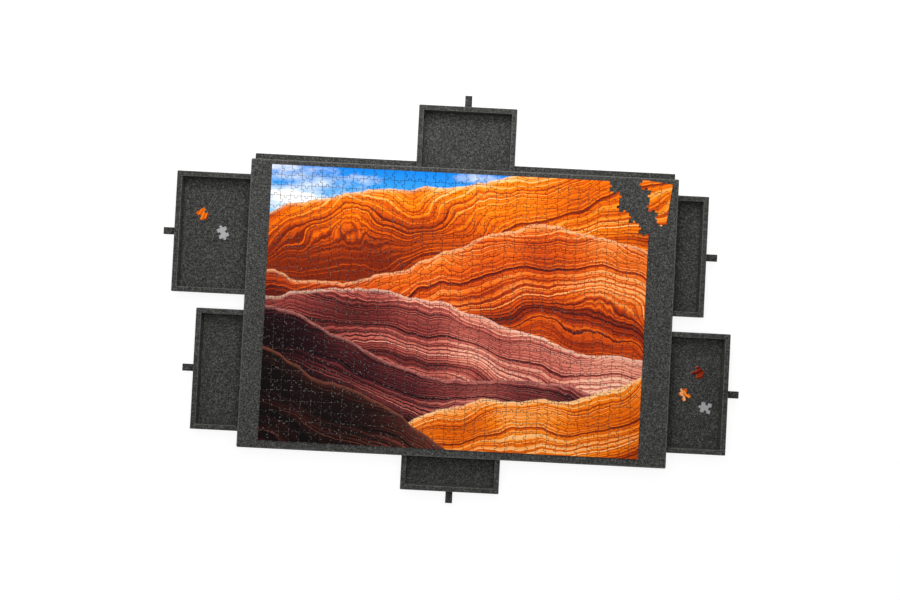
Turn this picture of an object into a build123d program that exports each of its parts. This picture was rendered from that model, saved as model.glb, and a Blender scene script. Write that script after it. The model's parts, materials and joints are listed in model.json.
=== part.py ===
from build123d import *
import os

# Jigsaw work board: a felt-covered top over six drawer bays, two on the left, two on the right and one in
# the middle of the rear and the front. X runs along the board, +Y is the rear edge with the ledge, +Z is up.
# The origin is on the underside, below the middle of the top. All sizes are in millimetres.

# Top and base panels, measured over their felt
BOARD_LENGTH = 780.0
BOARD_DEPTH = 526.0
REAR_LEDGE = 15.0
PANEL_CORNER = 4.0
PANEL_EDGE = 2.5
FOOT_EDGE = 1.5
FELT = 2.0
TOP_BOARD = 5.0
BASE_BOARD = 4.0

# Frame between the panels
BAY_HEIGHT = 30.0
RAIL_DEPTH = 25.0
DIVIDER_WIDTH = 26.0
INNER_WALL = 18.0
CENTRE_STOP = 18.0
FRAME_INSET = 2.0
HOUSING = 4.0
MOUTH_EDGE = 3.0

# Drawers: the side drawers share the depth between the rails, the end drawers have a width of their own
END_DRAWER_WIDTH = 180.0
WALL = 9.5
WALL_EDGE = 1.5
DRAWER_FLOOR = 5.0
FLOOR_REBATE = 4.0

# Running clearances of a drawer in its bay
RUN_GAP = 0.3
HEAD_GAP = 1.2
SIDE_GAP = 1.0
BACK_GAP = 1.0

# Folded felt pulls
PULL_WIDTH = 12.8
PULL_REACH = 23.0
PULL_FELT = 1.8
PULL_LOOP = 1.3
PULL_CREASE = 0.2
PULL_SEAT = 6.0
PULL_FIT = 0.1

# How far each drawer stands open
OPENING = {
    "left_rear": 135.7,
    "left_front": 87.8,
    "right_rear": 57.9,
    "right_front": 108.9,
    "rear": 114.9,
    "front": 62.8,
}

# Jigsaw in progress on the top, as many pieces as fit between its margins, with the pieces still missing
# from the right-hand end of its rear rows
JIGSAW_LEFT_MARGIN = 38.5
JIGSAW_RIGHT_MARGIN = 50.0
JIGSAW_FRONT_MARGIN = 14.5
JIGSAW_REAR_MARGIN = 8.0
MISSING = (4, 3, 3, 2, 1)
PIECE_LENGTH = 18.65
PIECE_DEPTH = 18.6
PIECE_THICKNESS = 2.0
KNOB_NECK = 3.6
KNOB_REACH = 4.6
# Mix of knobs over the sheet: weights of a cut's column, row, their product and its direction, the start and
# the period of their sum, and how many of a period point to the right or the rear
KNOB_MIX = (1, 8, 6, 3)
KNOB_START = 1
KNOB_PERIOD = 9
KNOBS_FORWARD = 5

# Corner of the jigsaw that is put together apart from the sheet: pieces in each row, how far its outer
# corner lies from where it belongs, and its turn
CORNER_ROWS = (3, 2, 2, 1, 0)
CORNER_SHIFT = (40.0, -1.0)
CORNER_TURN = -6.8

# Loose pieces by row: drawer, distance behind its front, distance off its centre line, turn, face down or not
LOOSE = (
    ("left_rear", 45.0, -35.0, -142.0, False),
    ("left_rear", 84.0, -2.0, -158.0, True),
    ("right_front", 74.0, -5.0, -55.0, False),
    ("right_front", 34.0, -27.0, 79.0, True),
    ("right_front", 52.0, 37.0, 49.0, False),
)

# Levels
BASE_TOP = 2 * FELT + BASE_BOARD
BAY_TOP = BASE_TOP + BAY_HEIGHT
WORK_SURFACE = BAY_TOP + TOP_BOARD + FELT
DRAWER_HEIGHT = BAY_HEIGHT - RUN_GAP - HEAD_GAP

# Plan of the frame
HALF_LENGTH = BOARD_LENGTH / 2
HALF_DEPTH = BOARD_DEPTH / 2
FRAME_X = HALF_LENGTH - FRAME_INSET
FRAME_Y = HALF_DEPTH - FRAME_INSET
END_BAY_X = END_DRAWER_WIDTH / 2 + SIDE_GAP
SIDE_BAY_X = END_BAY_X + INNER_WALL
SIDE_BAY_Y = FRAME_Y - RAIL_DEPTH
SIDE_DRAWER_Y = (SIDE_BAY_Y + DIVIDER_WIDTH / 2) / 2
SIDE_DRAWER_WIDTH = SIDE_BAY_Y - DIVIDER_WIDTH / 2 - 2 * SIDE_GAP
SIDE_DRAWER_LENGTH = HALF_LENGTH - SIDE_BAY_X - BACK_GAP
END_DRAWER_LENGTH = HALF_DEPTH - CENTRE_STOP / 2 - BACK_GAP

# Grid of the jigsaw
PIECE_COLUMNS = int((BOARD_LENGTH - JIGSAW_LEFT_MARGIN - JIGSAW_RIGHT_MARGIN) / PIECE_LENGTH)
PIECE_ROWS = int((BOARD_DEPTH - JIGSAW_FRONT_MARGIN - JIGSAW_REAR_MARGIN) / PIECE_DEPTH)


def panel(length, depth, thickness, corner):
    """A flat panel with rounded corners, standing on the XY plane."""
    return extrude(RectangleRounded(length, depth, corner), thickness)


def top_pieces():
    """The work surface: a board in a felt cover that turns down over its edges."""
    board = Pos(0, 0, BAY_TOP) * panel(
        BOARD_LENGTH - 2 * FELT, BOARD_DEPTH - 2 * FELT, TOP_BOARD, PANEL_CORNER - FELT
    )
    cover = Pos(0, 0, BAY_TOP) * panel(BOARD_LENGTH, BOARD_DEPTH, TOP_BOARD + FELT, PANEL_CORNER)
    rim = cover.faces().sort_by(Axis.Z)[-1].edges()
    return {"top_board": board, "top_cover": fillet(rim, PANEL_EDGE) - board}


def base_pieces():
    """The base: a board in a felt cover from below, and a felt lining on top that shows on the ledge."""
    depth = BOARD_DEPTH + REAR_LEDGE
    middle = REAR_LEDGE / 2
    board = Pos(0, middle, FELT) * panel(
        BOARD_LENGTH - 2 * FELT, depth - 2 * FELT, BASE_BOARD, PANEL_CORNER - FELT
    )
    cover = Pos(0, middle, 0) * panel(BOARD_LENGTH, depth, FELT + BASE_BOARD, PANEL_CORNER)
    foot = cover.faces().sort_by(Axis.Z)[0].edges()
    lining = Pos(0, middle, FELT + BASE_BOARD) * panel(BOARD_LENGTH, depth, FELT, PANEL_CORNER)
    return {
        "base_board": board,
        "base_cover": chamfer(foot, FOOT_EDGE) - board,
        "base_lining": lining,
    }


def frame_block(x_from, x_to, y_from, y_to):
    """A frame batten between base and top, its upright edges on the outside of the frame rounded."""
    size_x = x_to - x_from
    size_y = y_to - y_from
    centre = Pos((x_from + x_to) / 2, (y_from + y_to) / 2, BASE_TOP + BAY_HEIGHT / 2)
    block = centre * Box(size_x, size_y, BAY_HEIGHT)
    outside = [
        edge
        for edge in block.edges().filter_by(Axis.Z)
        if abs(edge.center().X) > FRAME_X - MOUTH_EDGE or abs(edge.center().Y) > FRAME_Y - MOUTH_EDGE
    ]
    return fillet(outside, MOUTH_EDGE) if outside else block


def frame_pieces():
    """Rails, dividers, inner walls and centre stop that part the six bays and carry the top."""
    half_divider = DIVIDER_WIDTH / 2
    half_stop = CENTRE_STOP / 2
    divider_end = SIDE_BAY_X - HOUSING
    stop_end = END_BAY_X + HOUSING
    pieces = {
        "rear_left_rail": frame_block(-FRAME_X, -END_BAY_X, SIDE_BAY_Y, FRAME_Y),
        "rear_right_rail": frame_block(END_BAY_X, FRAME_X, SIDE_BAY_Y, FRAME_Y),
        "front_left_rail": frame_block(-FRAME_X, -END_BAY_X, -FRAME_Y, -SIDE_BAY_Y),
        "front_right_rail": frame_block(END_BAY_X, FRAME_X, -FRAME_Y, -SIDE_BAY_Y),
        "left_divider": frame_block(-FRAME_X, -divider_end, -half_divider, half_divider),
        "right_divider": frame_block(divider_end, FRAME_X, -half_divider, half_divider),
        "centre_stop": frame_block(-stop_end, stop_end, -half_stop, half_stop),
    }
    left_wall = frame_block(-SIDE_BAY_X, -END_BAY_X, -SIDE_BAY_Y, SIDE_BAY_Y)
    right_wall = frame_block(END_BAY_X, SIDE_BAY_X, -SIDE_BAY_Y, SIDE_BAY_Y)
    pieces["left_inner_wall"] = left_wall - pieces["left_divider"] - pieces["centre_stop"]
    pieces["right_inner_wall"] = right_wall - pieces["right_divider"] - pieces["centre_stop"]
    return pieces


def drawer_wall(start, end, wrapped_ends):
    """A felt-wrapped wall whose outer foot runs from start to end, with the drawer's inside on its left."""
    run = Vector(*end) - Vector(*start)
    plane = Plane(origin=start, x_dir=(-run.Y, run.X, 0), z_dir=run)
    section = plane * Pos(WALL / 2, DRAWER_HEIGHT / 2) * Rectangle(WALL, DRAWER_HEIGHT)
    wall = extrude(section, run.length)
    soft = wall.faces().sort_by(Axis.Z)[-1].edges()
    if wrapped_ends:
        uprights = wall.edges().filter_by(Axis.Z)
        soft += [edge for edge in uprights if plane.to_local_coords(edge.center()).X < WALL / 2]
    else:
        soft = soft.filter_by(Axis(start, run))
    return fillet(soft, WALL_EDGE)


def pull_section(loop, root, root_at, loop_at):
    """The outline of a folded strip seen from the side: a round loop at the nose that narrows to its root."""
    nose = Pos(loop_at, 0) * Circle(loop)
    neck = Pos(root_at, 0) * Rectangle(root, 2 * root)
    return make_hull(nose.edges() + neck.edges())


def pull(level):
    """A pull folded from a felt strip, its two ends together in the slot of the drawer's front."""
    nose_at = PULL_REACH - PULL_LOOP - PULL_FELT
    strip = pull_section(PULL_LOOP + PULL_FELT, PULL_FELT, 0, nose_at)
    eye = pull_section(PULL_LOOP, PULL_CREASE, PULL_FELT, nose_at)
    ends = Pos(-PULL_SEAT / 2, 0) * Rectangle(PULL_SEAT, 2 * PULL_FELT)
    side = Plane(origin=(0, PULL_WIDTH / 2, level), x_dir=(1, 0, 0), z_dir=(0, -1, 0))
    return extrude(side * (strip - eye + ends), PULL_WIDTH)


def drawer_pieces(name, length, width):
    """A drawer along -X from its front face: floor let into four walls, and the pull in the front wall."""
    half = width / 2
    floor_inset = WALL - FLOOR_REBATE
    floor_length = length - 2 * floor_inset
    floor_width = width - 2 * floor_inset
    floor = Pos(-length / 2, 0, DRAWER_FLOOR / 2) * Box(floor_length, floor_width, DRAWER_FLOOR)
    inner_front = -WALL
    inner_back = WALL - length
    pull_level = DRAWER_HEIGHT / 2
    slot = Pos(-PULL_SEAT / 2, 0, pull_level) * Box(
        PULL_SEAT, PULL_WIDTH + 2 * PULL_FIT, 2 * (PULL_FELT + PULL_FIT)
    )
    return {
        f"{name}_drawer_floor": floor,
        f"{name}_drawer_front": drawer_wall((0, -half), (0, half), True) - floor - slot,
        f"{name}_drawer_back": drawer_wall((-length, half), (-length, -half), False) - floor,
        f"{name}_drawer_side_a": drawer_wall((inner_front, half), (inner_back, half), False) - floor,
        f"{name}_drawer_side_b": drawer_wall((inner_back, -half), (inner_front, -half), False) - floor,
        f"{name}_drawer_pull": pull(pull_level),
    }


def drawer_places():
    """Length, width and place of each drawer as it stands open: the middle of its front, turned outwards."""
    foot = BASE_TOP + RUN_GAP
    side = (SIDE_DRAWER_LENGTH, SIDE_DRAWER_WIDTH)
    end = (END_DRAWER_LENGTH, END_DRAWER_WIDTH)
    left = {row: -HALF_LENGTH - OPENING[f"left_{row}"] for row in ("rear", "front")}
    right = {row: HALF_LENGTH + OPENING[f"right_{row}"] for row in ("rear", "front")}
    return {
        "left_rear": (*side, Pos(left["rear"], SIDE_DRAWER_Y, foot) * Rot(0, 0, 180)),
        "left_front": (*side, Pos(left["front"], -SIDE_DRAWER_Y, foot) * Rot(0, 0, 180)),
        "right_rear": (*side, Pos(right["rear"], SIDE_DRAWER_Y, foot)),
        "right_front": (*side, Pos(right["front"], -SIDE_DRAWER_Y, foot)),
        "rear": (*end, Pos(0, HALF_DEPTH + OPENING["rear"], foot) * Rot(0, 0, 90)),
        "front": (*end, Pos(0, -HALF_DEPTH - OPENING["front"], foot) * Rot(0, 0, -90)),
    }


def knob_side(column, row, upright):
    """Which way the knob on a cut points, +1 to the right or the rear: a fixed mix over the whole sheet."""
    mixed = sum(w * v for w, v in zip(KNOB_MIX, (column, row, column * row, upright)))
    return 1 if (KNOB_START + mixed) % KNOB_PERIOD < KNOBS_FORWARD else -1


def cut_edge(a, b):
    """The edge of a piece between two neighbouring grid points: straight on the border, else with a knob."""
    start = Vector(a[0] * PIECE_LENGTH, a[1] * PIECE_DEPTH)
    end = Vector(b[0] * PIECE_LENGTH, b[1] * PIECE_DEPTH)
    upright = a[0] == b[0]
    on_border = a[0] in (0, PIECE_COLUMNS) if upright else a[1] in (0, PIECE_ROWS)
    if on_border:
        return [Line(start, end)]
    reach = KNOB_REACH * knob_side(*min(a, b), upright)
    middle = (start + end) / 2
    crown = middle + (Vector(reach, 0) if upright else Vector(0, reach))
    half_neck = (end - start).normalized() * (KNOB_NECK / 2)
    return [
        Line(start, middle - half_neck),
        ThreePointArc(middle - half_neck, crown, middle + half_neck),
        Line(middle + half_neck, end),
    ]


def jigsaw_block(cells):
    """One slab for a group of joined pieces, cut to their outline, in the jigsaw's own plan."""
    steps = set()
    for column, row in cells:
        ring = [(column, row), (column + 1, row), (column + 1, row + 1), (column, row + 1)]
        for a, b in zip(ring, ring[1:] + ring[:1]):
            if (b, a) in steps:
                steps.remove((b, a))
            else:
                steps.add((a, b))
    following = dict(steps)
    first = min(following)
    edges = []
    point = first
    while not edges or point != first:
        edges += cut_edge(point, following[point])
        point = following[point]
    return extrude(make_face(edges), PIECE_THICKNESS)


def jigsaw_pieces(places):
    """The sheet and the corner on the work surface, and each loose piece on the floor of its drawer."""
    rear_rows = range(len(MISSING))
    missing = {PIECE_ROWS - 1 - k: MISSING[k] for k in rear_rows}
    sheet = [(c, r) for r in range(PIECE_ROWS) for c in range(PIECE_COLUMNS - missing.get(r, 0))]
    corner = [
        (PIECE_COLUMNS - 1 - c, PIECE_ROWS - 1 - k) for k in rear_rows for c in range(CORNER_ROWS[k])
    ]
    home = Pos(JIGSAW_LEFT_MARGIN - HALF_LENGTH, JIGSAW_FRONT_MARGIN - HALF_DEPTH, WORK_SURFACE)
    outer_corner = Pos(PIECE_COLUMNS * PIECE_LENGTH, PIECE_ROWS * PIECE_DEPTH)
    shifted = Pos(*CORNER_SHIFT) * outer_corner * Rot(0, 0, CORNER_TURN) * outer_corner.inverse()
    pieces = {
        "jigsaw_sheet": home * jigsaw_block(sheet),
        "jigsaw_corner": home * shifted * jigsaw_block(corner),
    }
    half_thickness = PIECE_THICKNESS / 2
    for k, (drawer, behind, aside, turn, face_down) in enumerate(LOOSE):
        cell = (PIECE_COLUMNS - 1 - CORNER_ROWS[k], PIECE_ROWS - 1 - k)
        centre = Pos((cell[0] + 0.5) * PIECE_LENGTH, (cell[1] + 0.5) * PIECE_DEPTH, half_thickness)
        lying = Pos(-behind, aside, DRAWER_FLOOR + half_thickness) * Rot(0, 0, turn)
        flipped = Rot(0, 180 if face_down else 0, 0) * centre.inverse()
        pieces[f"loose_piece_{k + 1}"] = places[drawer][2] * lying * flipped * jigsaw_block([cell])
    return pieces


places = drawer_places()
pieces = {**top_pieces(), **base_pieces(), **frame_pieces()}
for name, (length, width, place) in places.items():
    for node, solid in drawer_pieces(name, length, width).items():
        pieces[node] = place * solid
pieces.update(jigsaw_pieces(places))

os.makedirs("parts", exist_ok=True)
for node, solid in pieces.items():
    export_step(solid, f"parts/{node}.step")
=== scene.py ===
import json
import math
from collections import namedtuple

import bmesh
import bpy
from bpy.props import FloatProperty, FloatVectorProperty, IntProperty, PointerProperty
from mathutils import Euler, Matrix, Vector, noise

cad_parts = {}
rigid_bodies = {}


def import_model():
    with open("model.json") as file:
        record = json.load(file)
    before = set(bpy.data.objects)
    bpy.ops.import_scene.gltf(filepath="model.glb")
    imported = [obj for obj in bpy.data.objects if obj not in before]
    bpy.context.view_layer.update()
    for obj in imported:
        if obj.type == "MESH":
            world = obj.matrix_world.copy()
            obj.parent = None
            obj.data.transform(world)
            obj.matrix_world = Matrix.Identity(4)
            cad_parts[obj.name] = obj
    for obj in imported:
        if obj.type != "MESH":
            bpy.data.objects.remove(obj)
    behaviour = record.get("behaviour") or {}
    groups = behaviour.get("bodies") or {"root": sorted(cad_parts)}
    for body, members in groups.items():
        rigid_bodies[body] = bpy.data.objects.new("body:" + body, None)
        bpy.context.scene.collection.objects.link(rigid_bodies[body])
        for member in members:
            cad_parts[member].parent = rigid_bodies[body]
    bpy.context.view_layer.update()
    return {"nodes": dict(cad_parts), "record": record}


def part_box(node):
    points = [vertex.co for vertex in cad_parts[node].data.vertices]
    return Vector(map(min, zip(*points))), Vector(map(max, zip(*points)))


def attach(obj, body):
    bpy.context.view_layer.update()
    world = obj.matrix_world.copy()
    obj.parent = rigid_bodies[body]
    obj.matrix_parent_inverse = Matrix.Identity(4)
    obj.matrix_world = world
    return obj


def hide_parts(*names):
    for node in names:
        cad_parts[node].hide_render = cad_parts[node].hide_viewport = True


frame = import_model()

bl_info = {
    "name": "Jigsaw Board",
    "version": (1, 0, 0),
    "blender": (4, 5, 0),
    "location": "3D View > Sidebar > Jigsaw Board",
    "description": "Felt covers, folded pulls and cut jigsaw pieces for a jigsaw board with six drawers",
    "category": "Add Mesh",
}

MM = 0.001
WHITE = (1.0, 1.0, 1.0)

# The way each drawer opens, in degrees from +X towards +Y.
OPENS_TOWARDS = {
    "left_rear": 180.0, "left_front": 180.0, "right_rear": 0.0, "right_front": 0.0,
    "rear": 90.0, "front": -90.0,
}
DRAWER_WALLS = ("front", "back", "side_a", "side_b")

# How far a drawer's felt floor ends short of its panel, and its side walls run into front and back.
FLOOR_LET_IN, WALL_OVERLAP = 3.5 * MM, 2.5 * MM

# Softness of edges where felt is cut or laid flat, and at the foot of the base and the walls.
CUT_EDGE, LAID_EDGE = 0.8 * MM, 0.4 * MM
BASE_FOOT, WALL_FOOT = 1.8 * MM, 1.0 * MM

# Spacing of the points on felt that needs fewer of them, and below which points are one.
BASE_GRID, FLOOR_GRID, LINING_GRID = 12.0 * MM, 6.0 * MM, (8.0 * MM, 5.0 * MM)
WELD = 0.002 * MM

# The felt's surface rises and falls in tufts and in wider swells, each with its share, more on a
# drawer's floor. Each piece has a seed of its own.
TUFT_SIZE, TUFT_SHARE = 5.0 * MM, 0.55
SWELL_SIZE, SWELL_SHARE = 24.0 * MM, 0.45
FLOOR_NAP = 1.4
TOP_SEED, BASE_SEED, LINING_SEED, DRAWER_SEED = 1.0, 2.0, 3.0, 10.0

# Size of the felt's fibres, and the ways that they lie, as turns about X, Y and Z.
FIBRE_SIZE = (0.45 * MM, 6.0 * MM, 0.45 * MM)
FIBRE_LAYS = (
    (0.15, 0.10, 0.2), (-0.20, 0.25, 1.0), (0.30, -0.15, 1.9), (-0.10, -0.30, 2.6), (1.30, 0.20, 0.5),
)

# Shades from dark to pale, as places on the tone and parts of the middle colour.
FELT_TONES = ((0.38, 0.10), (0.46, 0.48), (0.53, 1.15), (0.61, 3.20))
BOARD_TONES = ((0.35, 0.62), (0.50, 1.0), (0.66, 1.35))
CARD_TONES = ((0.30, 0.62), (0.50, 1.0), (0.70, 1.30))
CARD_GRAIN = 1.4 * MM

# A pull's strip: its soft edge, half the gap between its ends, the steps of its fold in degrees, and how
# it flares out towards the fold, as parts of its length and of its rise.
STRIP_EDGE, STRIP_EDGE_STEPS = 0.5 * MM, 3
STRIP_GAP, FOLD_STEP = 0.02 * MM, 15
STRIP_FLARE = ((0.30, 0.15), (0.62, 0.62), (0.85, 0.93))

# Jigsaw cells that are not in the sheet, counted from the right end of the rearmost rows,
# and how many of them are joined in the corner that lies apart.
MISSING_CELLS = (4, 3, 3, 2, 1)
CORNER_CELLS = (3, 2, 2, 1, 0)

# The rule for knobs: weights of column, row, their product and upright cuts, where the count starts,
# its period and how many of a period point forward. Then the steps round a knob in the sheet and out of it.
KNOB_MIX = (1, 8, 6, 3)
KNOB_START, KNOB_PERIOD, KNOBS_FORWARD = 1, 9, 5
SHEET_KNOB_STEPS, LOOSE_KNOB_STEPS = 6, 14

# The seed of the cuts, and what a row adds to the number of a cell, which seeds its tilt.
JIGSAW_SEED, ROW_KEY = 7, 100

# The finishes of a jigsaw piece, as its faces number them.
FINISHES = ("picture", "card_edge", "card_back")
PICTURE, CARD_EDGE, CARD_BACK = range(len(FINISHES))

# How far the backs of the pieces are drawn in on the flat map, to leave room for the cuts, and its margin.
MAP_INSET, MAP_MARGIN = 1.2 * MM, 0.01

# The floor of the stage: its half width, its level, the distances between which its glow rises, the
# least and the most glow, and the shade that takes the board's shadow. Then the camera's sensor in mm.
FLOOR_HALF, FLOOR_LEVEL = 12.0, -0.4 * MM
GLOW_NEAR, GLOW_FAR = 0.8, 2.4
GLOW_LEAST, GLOW_MOST = 0.88, 1.0
FLOOR_SHADOW = (0.22, 0.22, 0.22)
SENSOR_WIDTH = 36.0

# How nodes are set out in a tree.
NODES_IN_LINE, NODE_WIDTH, NODE_HEIGHT = 12, 220, 300

# Where a loose jigsaw piece lies in a drawer, in mm and degrees from the middle of the drawer's front,
# and how many columns and rows away the part of the picture lies that it shows.
OWN_PRINT = (0.0, 0.0)
LoosePiece = namedtuple("LoosePiece", "drawer behind aside turn face_down print_shift", defaults=[OWN_PRINT])
LOOSE_PIECES = (
    LoosePiece("left_rear", 45.0, -35.0, -142.0, False),
    LoosePiece("left_rear", 84.0, -2.0, -158.0, True),
    LoosePiece("right_front", 74.0, -5.0, -55.0, False, (-5.0, -2.5)),
    LoosePiece("right_front", 34.0, -27.0, 79.0, True),
    LoosePiece("right_front", 52.0, 37.0, 49.0, False, (-2.5, -9.5)),
)

# The dunes of the printed picture, from the far one to the near one: ridge line, bands and colours.
# Heights and slopes are parts of the picture's height.
Dune = namedtuple("Dune", "level slope swing waves phase bands bend dim_left crest shades")
DUNES = (
    Dune(0.78, 0.36, 0.035, 1.1, 0.10, 9.0, 0.35, 0.25, (1.0, 0.62, 0.33), (
        (0.20, 0.018, 0.004), (0.62, 0.075, 0.004), (0.88, 0.16, 0.003),
        (0.97, 0.27, 0.006), (1.0, 0.55, 0.19),
    )),
    Dune(0.62, 0.13, 0.085, 1.0, 0.55, 12.0, 0.30, 0.42, (1.0, 0.55, 0.28), (
        (0.09, 0.009, 0.006), (0.40, 0.035, 0.006), (0.70, 0.085, 0.006),
        (0.86, 0.17, 0.010), (1.0, 0.44, 0.15),
    )),
    Dune(0.50, -0.10, 0.07, 0.8, 0.0, 15.0, 0.24, 0.50, (0.95, 0.62, 0.46), (
        (0.045, 0.008, 0.008), (0.22, 0.033, 0.030), (0.50, 0.105, 0.080),
        (0.74, 0.22, 0.145), (0.97, 0.55, 0.38),
    )),
    Dune(0.42, -0.30, 0.05, 1.3, 0.2, 18.0, 0.20, 0.45, (0.62, 0.22, 0.18), (
        (0.007, 0.003, 0.004), (0.030, 0.006, 0.009), (0.11, 0.019, 0.022),
        (0.28, 0.048, 0.040), (0.62, 0.19, 0.14),
    )),
    Dune(-0.06, 0.33, 0.03, 1.7, 0.35, 14.0, 0.22, 0.30, (1.0, 0.66, 0.36), (
        (0.15, 0.015, 0.004), (0.52, 0.060, 0.004), (0.84, 0.145, 0.004),
        (0.95, 0.26, 0.008), (1.0, 0.58, 0.24),
    )),
    Dune(0.33, -0.68, 0.02, 2.1, 0.6, 16.0, 0.20, 0.30, (0.30, 0.085, 0.05), (
        (0.004, 0.003, 0.003), (0.009, 0.004, 0.004), (0.022, 0.007, 0.006),
        (0.062, 0.015, 0.011), (0.19, 0.050, 0.032),
    )),
)

# Where the five shades of a dune lie on its tone, and the seed of the far dune.
DUNE_TONES = (0.345, 0.44, 0.52, 0.585, 0.675)
FIRST_DUNE_SEED = 3


def number_prop(name, description, default, least=0.0, **more):
    """A number that a user can change."""
    return FloatProperty(name=name, description=description, default=default, min=least, **more)


def size_prop(name, description, default, least=0.0):
    """A length that a user can change."""
    return number_prop(name, description, default, least, unit="LENGTH")


def colour_prop(name, description, default):
    """A colour that a user can change."""
    return FloatVectorProperty(
        name=name, description=description, subtype="COLOR", size=3, min=0.0, max=1.0, default=default)


def place_prop(name, description, default):
    """A place or a shift that a user can change."""
    return FloatVectorProperty(
        name=name, description=description, subtype="TRANSLATION", unit="LENGTH",
        size=len(default), default=default)


class FeltSettings(bpy.types.PropertyGroup):
    """Colours and softness of the felt."""

    panel_shade: colour_prop(
        "Panel felt", "Middle colour of the felt on the panels", (0.047, 0.047, 0.0445))
    drawer_shade: colour_prop(
        "Drawer felt", "Middle colour of the felt in the drawers", (0.0440, 0.0440, 0.0420))
    pull_shade: colour_prop("Pull felt", "Middle colour of the folded pulls", (0.0388, 0.0388, 0.0370))
    board_shade: colour_prop("Fibreboard", "Colour of the boards inside the felt", (0.36, 0.25, 0.155))
    panel_edge: size_prop("Panel edge", "How softly the felt turns over a panel's edge", 2.6 * MM)
    wall_edge: size_prop("Wall edge", "How softly the felt turns over a drawer wall", 1.4 * MM)
    nap: size_prop("Nap", "How far the felt's surface rises and falls", 0.13 * MM)
    grid: size_prop("Grid", "Spacing of the points on a felt surface", 4.0 * MM, least=1.0 * MM)


class PullSettings(bpy.types.PropertyGroup):
    """Sizes of the folded pulls."""

    width: size_prop("Width", "Width of the felt strip", 12.8 * MM)
    felt: size_prop("Felt", "Thickness of the felt strip", 1.8 * MM)
    loop: size_prop("Loop", "Inner radius of the fold", 1.3 * MM)
    seat: size_prop("Seat", "Length held in the drawer's front", 6.0 * MM)


class JigsawSettings(bpy.types.PropertyGroup):
    """Cut of the jigsaw and where its corner lies."""

    columns: IntProperty(name="Columns", description="Pieces along the jigsaw", min=2, default=37)
    rows: IntProperty(name="Rows", description="Pieces across the jigsaw", min=2, default=27)
    neck: size_prop("Neck", "Width of a knob's neck", 3.6 * MM)
    reach: size_prop("Reach", "How far a knob stands out", 4.6 * MM)
    bevel: size_prop("Pressed edge", "Width of the edge that the cutting die presses down", 0.7 * MM)
    press: size_prop("Press", "How far the die presses the edge down", 0.35 * MM)
    gap: size_prop("Gap", "Width of the cut between two pieces", 0.34 * MM)
    drift: size_prop("Drift", "How far the cuts wander from a square grid", 3.0 * MM)
    drift_size: size_prop(
        "Drift size", "Distance over which the cuts wander", 26.0 * MM, least=1.0 * MM)
    tilt: number_prop(
        "Tilt", "Largest tilt of a piece in the sheet", math.radians(0.25), subtype="ANGLE")
    corner_shift: place_prop(
        "Corner shift", "Where the corner lies from its place in the picture", (40.0 * MM, -1.0 * MM))
    corner_turn: number_prop(
        "Corner turn", "How far the corner is turned", math.radians(-6.8), least=-math.pi, subtype="ANGLE")
    card_shade: colour_prop("Card", "Colour of the grey card at the cuts", (0.30, 0.28, 0.25))
    back_shade: colour_prop("Back", "Colour of the paper on the back", (0.39, 0.39, 0.405))


class StageSettings(bpy.types.PropertyGroup):
    """Camera, light and floor."""

    camera_place: place_prop("Camera", "Place of the camera", (-0.013, -0.003, 1.861))
    camera_turn: FloatVectorProperty(
        name="Camera turn", description="Turn of the camera", subtype="EULER", size=3,
        default=tuple(math.radians(angle) for angle in (0.82, 0.05, 2.89)))
    lens: number_prop("Lens", "Focal length in millimetres", 40.0, least=1.0)
    top_lamp_place: place_prop("Top lamp", "Place of the soft lamp above the board", (-0.08, 0.25, 1.28))
    top_lamp_size: size_prop("Top lamp size", "Width of the soft lamp above", 1.3, least=0.01)
    top_lamp_power: number_prop("Top lamp power", "Power of the soft lamp above", 12.7, unit="POWER")
    rear_lamp_place: place_prop("Rear lamp", "Place of the lamp behind the board", (-0.10, 0.85, 0.80))
    rear_lamp_size: size_prop("Rear lamp size", "Width of the lamp behind", 0.5, least=0.01)
    rear_lamp_power: number_prop("Rear lamp power", "Power of the lamp behind", 7.0, unit="POWER")
    fill: number_prop("Fill", "Strength of the light from all round", 0.16)
    ring: number_prop("Ring", "Strength added low down all round, for the sides of the board", 3.5)
    ring_height: number_prop(
        "Ring height", "Sine of the elevation at which the low light has faded out", 0.2,
        least=0.01, max=1.0)
    floor_shade: colour_prop("Floor", "Colour of the floor", (0.82, 0.82, 0.82))


class JigsawBoardSettings(bpy.types.PropertyGroup):
    """All that a user can change."""

    felt: PointerProperty(type=FeltSettings)
    pull: PointerProperty(type=PullSettings)
    jigsaw: PointerProperty(type=JigsawSettings)
    stage: PointerProperty(type=StageSettings)


def settings():
    """The board's settings in this scene."""
    return bpy.context.scene.jigsaw_board


def shaded(colour, factor):
    """A colour made lighter or darker."""
    return tuple(min(1.0, channel * factor) for channel in colour)


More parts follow.
